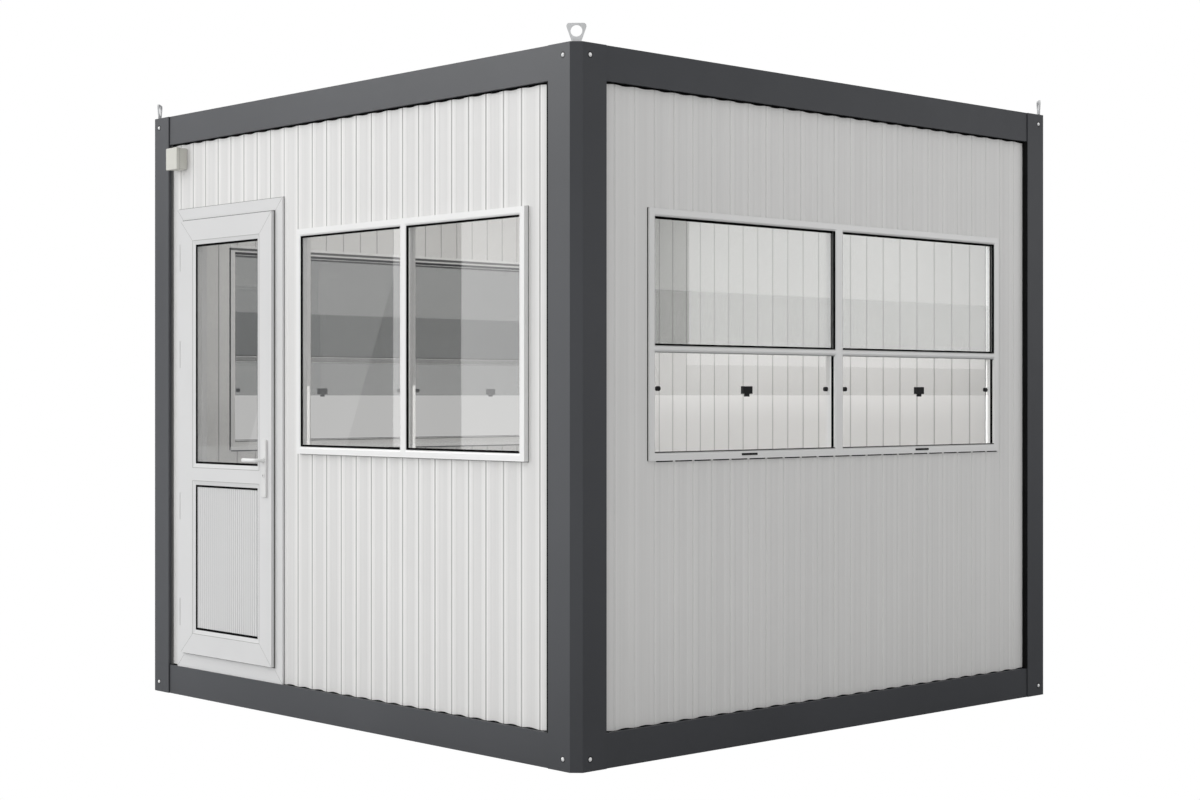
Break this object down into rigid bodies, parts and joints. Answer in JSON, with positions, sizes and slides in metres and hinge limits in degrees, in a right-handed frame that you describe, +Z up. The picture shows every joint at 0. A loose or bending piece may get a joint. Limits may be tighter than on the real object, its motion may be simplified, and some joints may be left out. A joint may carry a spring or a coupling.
{
  "type": "security guard booth",
  "caption": "Square steel-framed guard booth with ribbed sandwich walls, a half-glazed outward door, fixed and sliding windows, corner posts with lifting eyes.",
  "frame": {"origin": "on the ground under the middle of the booth, on the underside of the middle floor joist", "axes": "+Z up, the door wall faces -Y, the four-light windows face +X and -X, the plain back wall faces +Y"},
  "size_m": [2.83, 2.8943, 2.6264],
  "materials": {
    "anthracite_steel": "satin anthracite paint on folded steel",
    "bright_steel": "zinc plated",
    "galvanised_steel": "galvanised",
    "roof_steel": "galvanised and painted sheet",
    "wall_panel": "cream polyester coat on ribbed sheet, foam core",
    "floor_board": "vinyl covered board",
    "clear_glass": "clear float glass",
    "black_plastic": "moulded",
    "beige_plastic": "moulded",
    "white_metal": "white powder coat",
    "white_pvc": "smooth white extruded profile"
  },
  "bodies": {
    "booth": {"back_wall": "wall_panel", "bottom_beam_back": "anthracite_steel", "bottom_beam_front": "anthracite_steel", "bottom_beam_left": "anthracite_steel", "bottom_beam_right": "anthracite_steel", "ceiling_panel": "wall_panel", "door_frame": "white_pvc", "floor_deck": "floor_board", "floor_joists": "galvanised_steel", "front_wall_by_corner": "wall_panel", "front_wall_by_door_post": "wall_panel", "front_wall_middle": "wall_panel", "front_wall_over_door": "wall_panel", "front_wall_over_window": "wall_panel", "front_wall_under_window": "wall_panel", "front_window_frame": "white_pvc", "front_window_glass": "clear_glass", "hinge_frame_knuckles": "white_metal", "junction_box": "beige_plastic", "left_wall_back_strip": "wall_panel", "left_wall_front_strip": "wall_panel", "left_wall_over_window": "wall_panel", "left_wall_under_window": "wall_panel", "left_window_fixed_glass": "clear_glass", "left_window_frame": "white_pvc", "left_window_pane_fittings": "black_plastic", "left_window_sliding_panes": "clear_glass", "lifting_eyes": "bright_steel", "post_back_left": "anthracite_steel", "post_back_right": "anthracite_steel", "post_front_left": "anthracite_steel", "post_front_right": "anthracite_steel", "right_wall_back_strip": "wall_panel", "right_wall_front_strip": "wall_panel", "right_wall_over_window": "wall_panel", "right_wall_under_window": "wall_panel", "right_window_fixed_glass": "clear_glass", "right_window_frame": "white_pvc", "right_window_pane_fittings": "black_plastic", "right_window_sliding_panes": "clear_glass", "roof_sheet": "roof_steel", "top_beam_back": "anthracite_steel", "top_beam_front": "anthracite_steel", "top_beam_left": "anthracite_steel", "top_beam_right": "anthracite_steel"},
    "door": {"door_leaf": "white_pvc", "door_glass": "clear_glass", "door_lower_panel": "white_pvc", "door_lock_plate": "white_metal", "hinge_leaf_knuckles": "white_metal"},
    "lever": {"door_lever": "white_metal"}
  },
  "joints": [
    {"name": "door_hinge", "type": "hinge", "parent": "booth", "child": "door", "pos_m": [-1.167, -1.413, 1.13], "axis": [0, 0, -1], "range_deg": [0, 105]},
    {"name": "lever_turn", "type": "hinge", "parent": "door", "child": "lever", "pos_m": [-0.497, -1.45, 1.051], "axis": [0, -1, 0], "range_deg": [0, 40], "stiffness_Nm_per_rad": 1.2, "springref_deg": -20.05}
  ]
}
